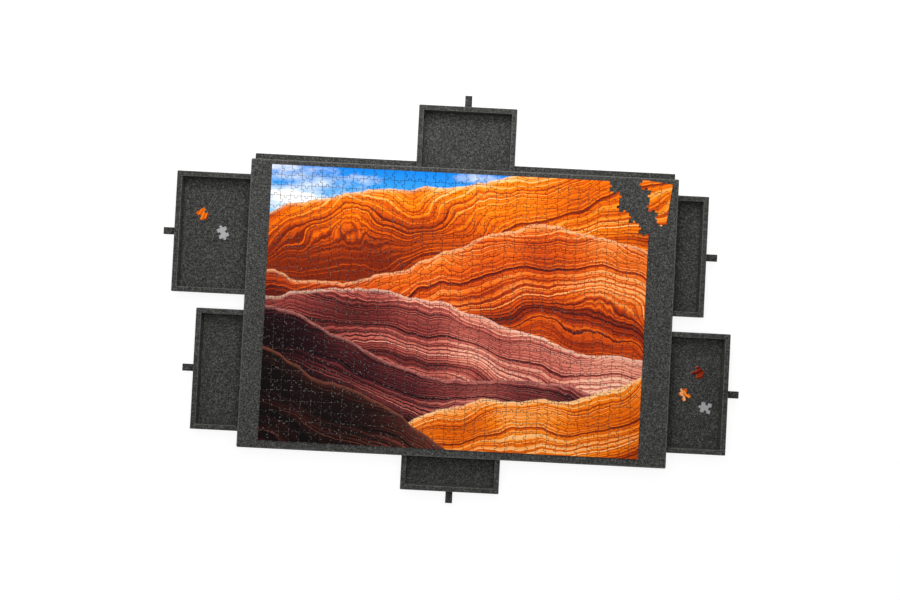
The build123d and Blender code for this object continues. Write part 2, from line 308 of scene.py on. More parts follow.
class NodeNet:
    """The nodes of one tree, with their links."""

    def __init__(self, tree):
        self.tree = tree
        tree.nodes.clear()

    def feed(self, socket, value):
        """Links a socket to another one, or sets its value. A colour that is set is opaque."""
        if isinstance(value, bpy.types.NodeSocket):
            self.tree.links.new(value, socket)
        else:
            socket.default_value = (*value, 1.0) if socket.type == "RGBA" else value

    def add(self, kind, *values, **given):
        """A node, fed with values for its first inputs. What else is given is for the inputs with these
        names, or is a choice of the node if it has a small letter. Shader nodes need no prefix."""
        node = self.tree.nodes.new(kind if "Node" in kind else f"ShaderNode{kind}")
        line, place = divmod(len(self.tree.nodes), NODES_IN_LINE)
        node.location = (NODE_WIDTH * place, -NODE_HEIGHT * line)
        for name in [name for name in given if name[0].islower()]:
            setattr(node, name, given.pop(name))
        for index, value in enumerate(values):
            self.feed(node.inputs[index], value)
        for name, value in given.items():
            self.feed(node.inputs[name.replace("_", " ")], value)
        return node

    def out(self, kind, *values, **given):
        """The first output of a new node."""
        return self.add(kind, *values, **given).outputs[0]

    def place(self):
        """The place on the object."""
        return self.add("TexCoord").outputs["Object"]

    def attribute(self, name, output):
        """What is stored on the mesh."""
        return self.add("Attribute", attribute_name=name).outputs[output]

    def parts(self, vector):
        """The X, Y and Z of a vector."""
        return self.add("SeparateXYZ", vector).outputs

    def vector(self, operation, *values):
        """The result of one step with vectors."""
        return self.out("VectorMath", *values, operation=operation)

    def math(self, operation, *values, clamp=False):
        """The result of one step with numbers."""
        return self.out("Math", *values, operation=operation, use_clamp=clamp)

    def weighted(self, start, *terms):
        """A start value plus values times their weights."""
        for value, weight in terms:
            start = self.math("MULTIPLY_ADD", value, weight, start)
        return start

    def extreme(self, operation, values):
        """The largest (MAXIMUM) or smallest (MINIMUM) value."""
        found, *others = values
        for value in others:
            found = self.math(operation, found, value)
        return found

    def noise(self, dimensions, scale, detail=2.0, roughness=0.5, **given):
        """A noise value at a Vector, or at W for one dimension."""
        given.update(Scale=scale, Detail=detail, Roughness=roughness)
        return self.out("TexNoise", noise_dimensions=dimensions, **given)

    def between(self, value, low, high, to_low=0.0, to_high=1.0):
        """A value taken from one range to another, held at its ends."""
        return self.out("MapRange", value, low, high, to_low, to_high)

    def mix(self, factor, first, second):
        """Two colours mixed by a factor."""
        node = self.add("Mix", factor, data_type="RGBA", clamp_factor=True)
        self.feed(node.inputs[6], first)
        self.feed(node.inputs[7], second)
        return node.outputs[2]

    def ramp(self, factor, stops):
        """A colour picked by a factor from (position, colour) stops."""
        node = self.add("ValToRGB", factor)
        elements = node.color_ramp.elements
        elements.remove(elements[1])
        for position, colour in stops:
            elements.new(position).color = (*colour, 1.0)
        elements.remove(elements[0])
        return node.outputs[0]

    def tones(self, factor, shade, tones):
        """A shade of one colour picked by a factor."""
        return self.ramp(factor, [(position, shaded(shade, part)) for position, part in tones])

    def bump(self, height, strength, distance):
        """A normal that follows a height."""
        return self.out("Bump", Height=height, Strength=strength, Distance=distance)

    def surface(self, **given):
        """The surface shader, joined to the material's output."""
        self.add("OutputMaterial", self.out("BsdfPrincipled", **given))


def new_material(name):
    """An empty node material and its net."""
    material = bpy.data.materials.new(name)
    material.use_nodes = True
    return material, NodeNet(material.node_tree)


def stretched(net, place, turn, grain):
    """Coordinates that count in grains of a given size, turned to the way that the grains lie."""
    return net.out("Mapping", place, Rotation=turn, Scale=grain, vector_type="TEXTURE")


def felt_material(name, shade):
    """Heathered wool felt: tufts of dark and pale wool with fibres pressed flat across them."""
    material, net = new_material(name)
    place = net.place()
    tufts = net.noise("3D", scale=340.0, detail=4.0, roughness=0.6, Vector=place, Distortion=0.7)
    askew = stretched(net, place, turn=(0.5, 0.9, 0.3), grain=(1.0, 1.0, 1.0))
    specks = net.noise("3D", scale=610.0, Vector=askew)
    tone = net.weighted(0.0, (tufts, 0.75), (specks, 0.25))
    colour = net.tones(tone, shade, FELT_TONES)
    strands = []
    for lay in FIBRE_LAYS:
        along = stretched(net, place, lay, FIBRE_SIZE)
        strands.append(net.noise("3D", scale=1.0, detail=1.0, Vector=along, Distortion=0.4))
    dark = net.extreme("MINIMUM", strands)
    pale = net.extreme("MAXIMUM", strands)
    colour = net.mix(net.between(dark, 0.42, 0.28, to_high=0.75), colour, shaded(shade, 0.18))
    colour = net.mix(net.between(pale, 0.60, 0.74, to_high=0.60), colour, shaded(shade, 3.4))
    # Where the felt turns over an edge it is made paler in patches: partly worn fibres, partly a painted
    # highlight where the edge catches the light.
    edge_patches = net.between(tufts, 0.36, 0.60, to_low=0.25, to_high=0.75)
    rubbed_and_highlit = net.math("MULTIPLY", net.attribute("turned", "Fac"), edge_patches)
    colour = net.mix(rubbed_and_highlit, colour, shaded(shade, 3.2))
    rise = net.weighted(0.0, (tufts, 0.7), (pale, 0.8), (dark, 0.5))
    normal = net.bump(rise, strength=0.6, distance=0.7 * MM)
    net.surface(Base_Color=colour, Normal=normal, Roughness=0.95, Specular_IOR_Level=0.06)
    return material


def fibreboard_material(name, shade):
    """Pressed fibreboard: fine dark and pale flecks."""
    material, net = new_material(name)
    flecks = net.noise("3D", scale=900.0, detail=4.0, roughness=0.7, Vector=net.place())
    colour = net.tones(flecks, shade, BOARD_TONES)
    normal = net.bump(flecks, strength=0.25, distance=0.2 * MM)
    net.surface(Base_Color=colour, Normal=normal, Roughness=0.85, Specular_IOR_Level=0.3)
    return material


def card_material(name, shade, layers):
    """Grey card: recycled flecks, and layers where the die has cut it."""
    material, net = new_material(name)
    grain = (CARD_GRAIN, CARD_GRAIN, CARD_GRAIN / layers)
    lay = stretched(net, net.place(), turn=(0.0, 0.0, 0.0), grain=grain)
    flecks = net.noise("3D", scale=1.0, detail=4.0, roughness=0.75, Vector=lay)
    colour = net.tones(flecks, shade, CARD_TONES)
    normal = net.bump(flecks, strength=0.3, distance=0.15 * MM)
    net.surface(Base_Color=colour, Normal=normal, Roughness=0.9, Specular_IOR_Level=0.25)
    return material


def open_sky(net, plan, height):
    """The picture's sky: deep blue above, pale near the dunes, with loose clouds."""
    blue = net.ramp(height, (
        (0.70, (0.62, 0.83, 0.96)), (0.84, (0.075, 0.46, 0.88)), (1.0, (0.004, 0.20, 0.70)),
    ))
    flat = stretched(net, plan, turn=(0.0, 0.0, 0.12), grain=(0.31, 0.15, 1.0))
    puffs = net.noise("2D", scale=1.0, detail=7.0, roughness=0.6, Vector=flat)
    white = net.ramp(puffs, ((0.50, (0.60, 0.66, 0.78)), (0.66, (0.95, 0.95, 0.95))))
    return net.mix(net.between(puffs, 0.48, 0.68), blue, white)


def painted_dune(net, under, plan, across, height, dune, seed):
    """One banded dune laid over what is behind it in the picture."""
    angle = net.weighted(math.tau * dune.phase, (across, math.tau * dune.waves))
    swing = net.math("SINE", angle)
    ragged = net.noise("1D", scale=9.0, detail=3.0, W=net.math("ADD", across, seed))
    ridge = net.weighted(dune.level, (across, dune.slope), (swing, dune.swing), (ragged, 0.05))
    depth = net.math("SUBTRACT", ridge, height)
    shifted = net.vector("ADD", plan, (seed, 2.0 * seed, 0.0))
    folds = net.noise("2D", scale=2.6, Vector=shifted)
    flow = net.weighted(depth, (folds, dune.bend))
    broad = net.noise("1D", scale=dune.bands, detail=4.0, roughness=0.6, W=flow)
    thin = net.noise("1D", scale=7.5 * dune.bands, detail=3.0, roughness=0.75, W=flow)
    low_down = net.between(depth, 0.0, 0.30)
    to_left = net.between(across, 0.55, 0.0)
    shade = net.weighted(-0.32, (low_down, -0.11), (to_left, -0.35 * dune.dim_left), (folds, 0.36))
    tone = net.weighted(shade, (broad, 0.80), (thin, 0.62))
    colour = net.ramp(tone, tuple(zip(DUNE_TONES, dune.shades)))
    crest = net.between(depth, 0.0, 0.016, to_low=0.8, to_high=0.0)
    colour = net.mix(crest, colour, dune.crest)
    return net.mix(net.between(depth, 0.0, 0.004), under, colour)


def shaded_and_glinting_cuts(net, colour, place, paper):
    """The print with painted shade on its pressed edges, and painted glints there on dark print."""
    rim = net.attribute("rim", "Fac")
    # Painted shade on the pressed edges, in patches that follow the paper's grain.
    cut_shade_amount = net.math("MULTIPLY", rim, net.between(paper, 0.40, 0.62, to_low=0.55))
    shaded_rim = net.mix(0.88, colour, (0.012, 0.010, 0.009))
    # Painted glints: pale spots along the pressed edges, only where the print is dark.
    glint_noise = net.noise("3D", scale=300.0, detail=1.0, Vector=place)
    grey = net.out("RGBToBW", colour)
    glint_on_dark = net.between(grey, 0.02, 0.16, to_low=1.0, to_high=0.12)
    glint = net.math("MULTIPLY", glint_on_dark, net.between(glint_noise, 0.57, 0.62))
    shaded_rim = net.mix(glint, shaded_rim, (0.36, 0.34, 0.31))
    return net.mix(cut_shade_amount, colour, shaded_rim)


def picture_material(name, size):
    """The printed side of the jigsaw: banded dunes under an open sky, on satin paper."""
    material, net = new_material(name)
    home = net.attribute("picture", "Vector")
    unit = net.vector("MULTIPLY", home, (1.0 / size.x, 1.0 / size.y, 0.0))
    across, height, _ = net.parts(unit)
    colour = open_sky(net, unit, height)
    for seed, dune in enumerate(DUNES, start=FIRST_DUNE_SEED):
        colour = painted_dune(net, colour, unit, across, height, dune, float(seed))
    place = net.place()
    paper = net.noise("3D", scale=500.0, Vector=place)
    # Painted shade and painted glints along the pressed edges of the cuts.
    colour = shaded_and_glinting_cuts(net, colour, place, paper)
    normal = net.bump(paper, strength=0.12, distance=0.1 * MM)
    rough = net.between(paper, 0.3, 0.7, to_low=0.34, to_high=0.46)
    net.surface(Base_Color=colour, Normal=normal, Roughness=rough, Specular_IOR_Level=0.02)
    return material


def new_object(name, data):
    """A new object in the scene."""
    item = bpy.data.objects.new(name, data)
    bpy.context.scene.collection.objects.link(item)
    return item


def show(mesh, name, body, node):
    """Shows a finished mesh as a piece that rides on a body and stands for a CAD node."""
    piece = new_object(name, mesh)
    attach(piece, body)
    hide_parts(node)
    return piece


def recolour(slot, material):
    """Gives the CAD nodes of a slot, which stay in view, a better material."""
    for part in frame["record"]["subparts"]:
        if part["material_slot"] == slot:
            slots = frame["nodes"][part["node"]].data.materials
            slots.clear()
            slots.append(material)


def spaced(start, end, step):
    """Even values from start to end, about a step apart."""
    count = max(1, round((end - start) / step))
    return [start + (end - start) * index / count for index in range(count + 1)]


def side_lines(low, high, near, far, step):
    """Lines across a felt block: close where its two edges turn, then about a step apart."""
    turn = 1.0 - math.tan(math.pi / 8)
    return [low, low + near * turn, *spaced(low + near, high - far, step), high - far * turn, high]


def round_edges(block, low, high, edge, foot_edge):
    """Turns the square edges of a lattice block into soft ones, and marks where the felt turns."""
    near = (edge, edge, foot_edge)
    turned = block.verts.layers.float.new("turned")
    for vert in block.verts:
        core = Vector([min(max(vert.co[i], low[i] + near[i]), high[i] - edge) for i in range(3)])
        away = vert.co - core
        radii = (edge, edge, edge if away.z > 0.0 else foot_edge)
        unit = Vector([away[i] / radii[i] for i in range(3)])
        leaning = [part for part in unit if abs(part) > 0.01]
        vert[turned] = 1.0 if len(leaning) > 1 else 0.0
        if unit.length > 0.0:
            unit.normalize()
            vert.co = core + Vector([unit[i] * radii[i] for i in range(3)])


def felt_block(low, high, edge, foot_edge, step, cuts=((), ())):
    """A closed felt block with soft edges. Cuts are extra lines along X and Y."""
    near = (edge, edge, foot_edge)
    lines = [side_lines(low[i], high[i], near[i], edge, step[i]) for i in range(3)]
    for axis, extra in enumerate(cuts):
        lines[axis] = sorted({round(value, 7) for value in (*lines[axis], *extra)})
    block = bmesh.new()
    for axis in range(3):
        across, along = (axis + 1) % 3, (axis + 2) % 3
        for end in (0, -1):
            grid = []
            for first in lines[across]:
                grid.append([])
                for second in lines[along]:
                    point = Vector()
                    point[axis], point[across], point[along] = lines[axis][end], first, second
                    grid[-1].append(block.verts.new(point))
            for here, there in zip(grid, grid[1:]):
                for i in range(len(here) - 1):
                    corners = (here[i], there[i], there[i + 1], here[i + 1])
                    block.faces.new(corners if end else corners[::-1])
    bmesh.ops.remove_doubles(block, verts=block.verts, dist=WELD)
    round_edges(block, low, high, edge, foot_edge)
    return block


def ruffle(block, height, seed):
    """Lets a felt surface rise and fall a little along its normals."""
    block.normal_update()
    shift = Vector((1.7, 2.3, 3.1)) * seed
    for vert in block.verts:
        tufts = noise.noise(vert.co / TUFT_SIZE + shift)
        swell = noise.noise(vert.co / SWELL_SIZE + shift)
        vert.co += vert.normal * height * (TUFT_SHARE * tufts + SWELL_SHARE * swell)


def hollow_out(block, low, high, side):
    """Opens a felt block below (-1) or above (1), so that it wraps round the board inside it."""
    block.normal_update()
    lid = []
    for face in block.faces:
        middle = face.calc_center_median()
        inside = low.x < middle.x < high.x and low.y < middle.y < high.y
        if inside and face.normal.z * side > 0.9:
            lid.append(face)
    grown = bmesh.ops.extrude_face_region(block, geom=lid)
    moved = [item for item in grown["geom"] if isinstance(item, bmesh.types.BMVert)]
    depth = high.z - low.z
    bmesh.ops.translate(block, verts=moved, vec=(0.0, 0.0, -side * depth))
    left = [face for face in lid if face.is_valid]
    bmesh.ops.delete(block, geom=left, context="FACES")


def show_felt(block, node, body, material, rise, seed):
    """Shows a felt block, with a surface that rises and falls, in place of a CAD node."""
    ruffle(block, rise, seed)
    bmesh.ops.recalc_face_normals(block, faces=block.faces)
    name = f"{node}_felt"
    mesh = bpy.data.meshes.new(name)
    block.to_mesh(mesh)
    block.free()
    mesh.shade_smooth()
    mesh.materials.append(material)
    return show(mesh, name, body, node)


def panel_cover(panel, side, edge, foot_edge, step, material, seed):
    """A felt cover that turns round the edges of its board and is open on one side."""
    node, board = f"{panel}_cover", f"{panel}_board"
    low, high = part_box(node)
    inner_low, inner_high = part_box(board)
    cuts = ((inner_low.x, inner_high.x), (inner_low.y, inner_high.y))
    block = felt_block(low, high, edge, foot_edge, step, cuts)
    hollow_out(block, inner_low, inner_high, side)
    cover = show_felt(block, node, "carcass", material, settings().felt.nap, seed)


def base_lining(material):
    """The felt that is laid on the base."""
    felt = settings().felt
    low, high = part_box("base_lining")
    block = felt_block(low, high, CUT_EDGE, LAID_EDGE, (*LINING_GRID, felt.grid))
    laid = show_felt(block, "base_lining", "carcass", material, felt.nap, LINING_SEED)


class JIGSAW_BOARD_OT_panels(bpy.types.Operator):
    """Wraps the top and the base in felt and lays the lining on the base"""

    bl_idname = "jigsaw_board.panels"
    bl_label = "Felt Panels"

    def execute(self, context):
        felt = settings().felt
        material = felt_material("panel_felt", felt.panel_shade)
        fine = (felt.grid, felt.grid, felt.grid)
        wide = (BASE_GRID, BASE_GRID, felt.grid)
        panel_cover("top", -1, felt.panel_edge, CUT_EDGE, fine, material, TOP_SEED)
        panel_cover("base", 1, CUT_EDGE, BASE_FOOT, wide, material, BASE_SEED)
        base_lining(material)
        recolour("board", fibreboard_material("fibreboard", felt.board_shade))
        recolour("batten", material)
        return {"FINISHED"}


def drawer_turn(name):
    """The turn from +X to the way in which a drawer opens, and that way."""
    turn = Matrix.Rotation(math.radians(OPENS_TOWARDS[name]), 4, "Z")
    return turn, turn @ Vector((1.0, 0.0, 0.0))


def drawer_place(name):
    """The middle of a drawer's front at its foot, turned so that +X points out of the drawer."""
    low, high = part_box(f"{name}_drawer_front")
    turn, way = drawer_turn(name)
    middle = (low + high) / 2.0
    front = Vector([middle[i] + way[i] * (high[i] - low[i]) / 2.0 for i in range(3)])
    front.z = low.z
    return Matrix.Translation(front) @ turn


def drawer_floor(body, material, seed):
    """The felt floor of a drawer, between its four walls."""
    felt = settings().felt
    low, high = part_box(f"{body}_floor")
    let_in = Vector((FLOOR_LET_IN, FLOOR_LET_IN, 0.0))
    step = (FLOOR_GRID, FLOOR_GRID, felt.grid)
    block = felt_block(low + let_in, high - let_in, LAID_EDGE, LAID_EDGE, step)
    show_felt(block, f"{body}_floor", body, material, FLOOR_NAP * felt.nap, seed)


def drawer_wall(body, part, overlap, material, seed):
    """A felt wall of a drawer, grown by an overlap along X or Y into the walls that it meets."""
    felt = settings().felt
    low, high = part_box(f"{body}_{part}")
    step = (felt.grid, felt.grid, felt.grid)
    block = felt_block(low - overlap, high + overlap, felt.wall_edge, WALL_FOOT, step)
    show_felt(block, f"{body}_{part}", body, material, felt.nap, seed)


class JIGSAW_BOARD_OT_drawers(bpy.types.Operator):
    """Builds the felt floor and walls of the six drawers"""

    bl_idname = "jigsaw_board.drawers"
    bl_label = "Felt Drawers"

    def execute(self, context):
        material = felt_material("drawer_felt", settings().felt.drawer_shade)
        for index, name in enumerate(OPENS_TOWARDS, start=1):
            body = f"{name}_drawer"
            seed = DRAWER_SEED * index
            drawer_floor(body, material, seed)
            along = Vector([WALL_OVERLAP * abs(round(part)) for part in drawer_turn(name)[1]])
            for step, part in enumerate(DRAWER_WALLS, start=1):
                overlap = along if part.startswith("side") else Vector()
                drawer_wall(body, part, overlap, material, seed + step)
        return {"FINISHED"}


def node_tree(name, inputs):
    """A Geometry Nodes tree with named inputs: its net, its input sockets and the inputs' identifiers."""
    tree = bpy.data.node_groups.new(name, "GeometryNodeTree")
    tree.interface.new_socket("Geometry", in_out="OUTPUT", socket_type="NodeSocketGeometry")
    tree.interface.new_socket("Geometry", in_out="INPUT", socket_type="NodeSocketGeometry")
    keys = {}
    for label, kind in inputs:
        socket = tree.interface.new_socket(label, in_out="INPUT", socket_type=f"NodeSocket{kind}")
        keys[label] = socket.identifier
    net = NodeNet(tree)
    return net, net.add("NodeGroupInput").outputs, keys


def grow(source, tree, keys, values):
    """The plain mesh that a Geometry Nodes tree grows on an object. The object goes away."""
    modifier = source.modifiers.new(tree.name, "NODES")
    modifier.node_group = tree
    for label, value in values.items():
        modifier[keys[label]] = value
    graph = bpy.context.evaluated_depsgraph_get()
    mesh = bpy.data.meshes.new_from_object(
        source.evaluated_get(graph), preserve_all_data_layers=True, depsgraph=graph)
    data = source.data
    source.modifiers.clear()
    bpy.data.objects.remove(source)
    kept_in = bpy.data.meshes if isinstance(data, bpy.types.Mesh) else bpy.data.curves
    kept_in.remove(data)
    return mesh


def strip_tree():
    """Geometry Nodes: a felt strip of even width and thickness along a curve."""
    net, given, keys = node_tree("Felt Strip", (
        ("Width", "Float"), ("Thickness", "Float"), ("Soft Edge", "Float"), ("Felt", "Material"),
    ))
    section = net.out(
        "GeometryNodeCurvePrimitiveQuadrilateral", Width=given["Width"], Height=given["Thickness"])
    soft = net.out(
        "GeometryNodeFilletCurve", section, Radius=given["Soft Edge"], Limit_Radius=True,
        Count=STRIP_EDGE_STEPS, mode="POLY")
    strip = net.out("GeometryNodeCurveToMesh", given["Geometry"], soft, Fill_Caps=True)
    smooth = net.out("GeometryNodeSetShadeSmooth", strip)
    real = net.out("GeometryNodeRealizeInstances", smooth)
    dressed = net.out("GeometryNodeSetMaterial", real, Material=given["Felt"])
    net.add("NodeGroupOutput", dressed)
    return net.tree, keys


def fold_line(reach):
    """Side view of a pull's middle line: out from the drawer, round the fold and back."""
    pull = settings().pull
    root = 0.5 * pull.felt + STRIP_GAP
    bend = pull.loop + 0.5 * pull.felt
    nose = reach - bend - 0.5 * pull.felt
    upper = [(-pull.seat, root), (0.0, root)]
    upper += [(out * nose, root + rise * (bend - root)) for out, rise in STRIP_FLARE]
    turns = [math.radians(angle) for angle in range(90, -91, -FOLD_STEP)]
    arc = [(nose + bend * math.cos(turn), bend * math.sin(turn)) for turn in turns]
    lower = [(out, -rise) for out, rise in reversed(upper)]
    return upper + arc + lower


def strip_path(name, place, level, line):
    """A curve object that follows a pull's fold."""
    curve = bpy.data.curves.new(name, "CURVE")
    curve.dimensions = "3D"
    spline = curve.splines.new("POLY")
    spline.points.add(len(line) - 1)
    for point, (out, rise) in zip(spline.points, line):
        point.co = (*(place @ Vector((out, 0.0, level + rise))), 1.0)
    return new_object(name, curve)


class JIGSAW_BOARD_OT_pulls(bpy.types.Operator):
    """Folds a felt strip into the pull of each drawer"""

    bl_idname = "jigsaw_board.pulls"
    bl_label = "Folded Pulls"

    def execute(self, context):
        pull = settings().pull
        material = felt_material("pull_felt", settings().felt.pull_shade)
        tree, keys = strip_tree()
        for name in OPENS_TOWARDS:
            node = f"{name}_drawer_pull"
            place = drawer_place(name)
            low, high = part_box(node)
            ends = [(place.inverted() @ corner).x for corner in (low, high)]
            level = (low.z + high.z) / 2.0 - place.translation.z
            line = fold_line(max(ends))
            source = strip_path(f"{name}_fold", place, level, line)
            mesh = grow(source, tree, keys, {
                "Width": pull.width, "Thickness": pull.felt, "Soft Edge": STRIP_EDGE, "Felt": material,
            })
            folded = show(mesh, f"{node}_felt", f"{name}_drawer", node)
        return {"FINISHED"}


def knob_side(column, row, upright):
    """1 where the cut from this grid point has its knob to the right or rear, else -1."""
    mixed = sum(weight * value for weight, value in zip(KNOB_MIX, (column, row, column * row, upright)))
    return 1 if (KNOB_START + mixed) % KNOB_PERIOD < KNOBS_FORWARD else -1


def piece_sides(column, row):
    """Front, right, rear and left side of a jigsaw piece: flat (0), with a knob (1) or a socket (-1)."""
    jigsaw = settings().jigsaw
    front = -knob_side(column, row, False) if row > 0 else 0
    right = knob_side(column + 1, row, True) if column < jigsaw.columns - 1 else 0
    rear = knob_side(column, row + 1, False) if row < jigsaw.rows - 1 else 0
    left = -knob_side(column, row, True) if column > 0 else 0
    return front, right, rear, left


def knob_line(knob, inset, steps):
    """A knob (1) or socket (-1) drawn in by an inset: points along and out from the middle of its side."""
    jigsaw = settings().jigsaw
    half_neck = jigsaw.neck / 2.0
    bulb_out = (jigsaw.reach ** 2 - half_neck ** 2) / (2.0 * jigsaw.reach)
    full = jigsaw.reach - bulb_out
    radius = full - knob * inset
    lean = math.asin(half_neck / full) if knob > 0 else math.acos((bulb_out - inset) / radius)
    sweep = math.pi - lean
    turns = spaced(-sweep, sweep, 2.0 * sweep / steps)
    line = [(radius * math.sin(turn), bulb_out + radius * math.cos(turn)) for turn in turns]
    if knob > 0:
        neck = half_neck - inset * math.cos(lean / 2.0)
        foot = -inset * math.sin(lean / 2.0)
        line[0], line[-1] = (-neck, foot), (neck, foot)
    return [(along, knob * out) for along, out in line]


def piece_outline(sides, cell, inset, knob_steps):
    """Points round one jigsaw piece drawn in by an inset, counter-clockwise about its middle."""
    x, y = cell.x / 2.0, cell.y / 2.0
    corners = [Vector(corner) for corner in ((-x, -y), (x, -y), (x, y), (-x, y))]
    outline = []
    for index, knob in enumerate(sides):
        start, end = corners[index], corners[(index + 1) % 4]
        along = (end - start).normalized()
        out = Vector((along.y, -along.x))
        outline.append(start + inset * (along - out))
        if knob:
            middle = (start + end) / 2.0
            line = knob_line(knob, inset, knob_steps)
            outline += [middle + far * along + off * out for far, off in line]
    return outline


def store(mesh, name, kind, domain, values):
    """Stores a named value on each point or face of a mesh."""
    field = "vector" if kind == "FLOAT_VECTOR" else "value"
    mesh.attributes.new(name, kind, domain).data.foreach_set(field, values)


def piece_shape(name, sides, cell, thickness, knob_steps):
    """One cut jigsaw piece about its middle, with its pressed upper edge and its three finishes."""
    jigsaw = settings().jigsaw
    insets = [jigsaw.gap / 2.0 + inset for inset in (0.0, jigsaw.bevel, MAP_INSET)]
    cut, face, inner = [piece_outline(sides, cell, inset, knob_steps) for inset in insets]
    count = len(cut)
    rings = ((cut, 0.0), (cut, thickness - jigsaw.press), (face, thickness))
    points = [(*point, height) for ring, height in rings for point in ring]
    faces, finishes = [], []
    for index in range(count):
        after = (index + 1) % count
        for ring, finish in ((0, CARD_EDGE), (count, PICTURE)):
            faces.append((ring + index, ring + after, ring + count + after, ring + count + index))
            finishes.append(finish)
    faces += [tuple(reversed(range(count))), tuple(range(2 * count, 3 * count))]
    finishes += [CARD_BACK, PICTURE]
    mesh = bpy.data.meshes.new(name)
    mesh.from_pydata(points, [], faces)
    store(mesh, "finish", "INT", "FACE", finishes)
    offsets = [part for near, far in zip(inner, cut) for part in (*(near - far), 0.0)]
    store(mesh, "map_offset", "FLOAT_VECTOR", "POINT", offsets + [0.0] * (6 * count))
    store(mesh, "rim", "FLOAT", "POINT", [1.0] * (2 * count) + [0.0] * count)
    return bpy.data.objects.new(name, mesh)


def border_hold(net, place, size, reach):
    """0 on the border of the jigsaw, rising to 1 within a reach of it."""
    here, full = net.parts(place), net.parts(size)
    sides = []
    for axis in range(2):
        sides += [here[axis], net.math("SUBTRACT", full[axis], here[axis])]
    return net.math("DIVIDE", net.extreme("MINIMUM", sides), reach, clamp=True)


def whole_number(net, name):
    """A whole number that is stored on points or faces."""
    return net.out("GeometryNodeInputNamedAttribute", name, data_type="INT")


def jigsaw_tree():
    """Geometry Nodes: cut pieces set out on points, with wandering cuts and a slight tilt."""
    net, given, keys = node_tree("Jigsaw Pieces", (
        ("Shapes", "Collection"), ("Sheet Size", "Vector"), ("Tilt", "Float"), ("Drift", "Float"),
        ("Drift Size", "Float"), ("Seed", "Int"), *((finish, "Material") for finish in FINISHES),
    ))
    shapes = net.out(
        "GeometryNodeCollectionInfo", given["Shapes"], Separate_Children=True, Reset_Children=True)
    back = net.math("MULTIPLY", given["Tilt"], -1.0)
    least = net.out("CombineXYZ", back, back)
    most = net.out("CombineXYZ", given["Tilt"], given["Tilt"])
    lean = net.out(
        "FunctionNodeRandomValue", least, most, ID=whole_number(net, "cell"), Seed=given["Seed"],
        data_type="FLOAT_VECTOR")
    laid = net.out(
        "GeometryNodeInstanceOnPoints", given["Geometry"], Instance=shapes, Pick_Instance=True,
        Instance_Index=whole_number(net, "shape"), Rotation=lean)
    real = net.out("GeometryNodeRealizeInstances", laid)
    place = net.out("GeometryNodeInputPosition")
    fineness = net.math("DIVIDE", 1.0, given["Drift Size"])
    wander = net.add(
        "TexNoise", place, W=given["Seed"], Scale=fineness, Detail=1.0, noise_dimensions="4D")
    centred = net.vector("SUBTRACT", wander.outputs["Color"], (0.5, 0.5, 0.5))
    level = net.vector("MULTIPLY", centred, (1.0, 1.0, 0.0))
    hold = border_hold(net, place, given["Sheet Size"], given["Drift Size"])
    far = net.math("MULTIPLY", hold, given["Drift"])
    offset = net.out("VectorMath", level, Scale=far, operation="SCALE")
    moved = net.out("GeometryNodeSetPosition", real, Offset=offset)
    dressed = net.out(
        "GeometryNodeStoreNamedAttribute", moved, Name="picture", Value=net.out("GeometryNodeInputPosition"),
        data_type="FLOAT_VECTOR", domain="POINT")
    chosen = whole_number(net, "finish")
    for index, finish in enumerate(FINISHES):
        same = net.math("COMPARE", chosen, index, 0.5)
        dressed = net.out("GeometryNodeSetMaterial", dressed, Selection=same, Material=given[finish])
    net.add("NodeGroupOutput", dressed)
    return net.tree, keys


def cells_of_sheet():
    """The cells whose pieces are joined in the sheet."""
    jigsaw = settings().jigsaw
    for row in range(jigsaw.rows):
        from_rear = jigsaw.rows - 1 - row
        missing = MISSING_CELLS[from_rear] if from_rear < len(MISSING_CELLS) else 0
        for column in range(jigsaw.columns - missing):
            yield column, row


def cells_of_corner():
    """The cells whose pieces are joined in the corner that lies apart."""
    jigsaw = settings().jigsaw
    for from_rear, count in enumerate(CORNER_CELLS):
        for column in range(jigsaw.columns - count, jigsaw.columns):
            yield column, jigsaw.rows - 1 - from_rear


def cell_of_loose(index):
    """The cell that a loose piece belongs in."""
    jigsaw = settings().jigsaw
    return jigsaw.columns - 1 - CORNER_CELLS[index], jigsaw.rows - 1 - index


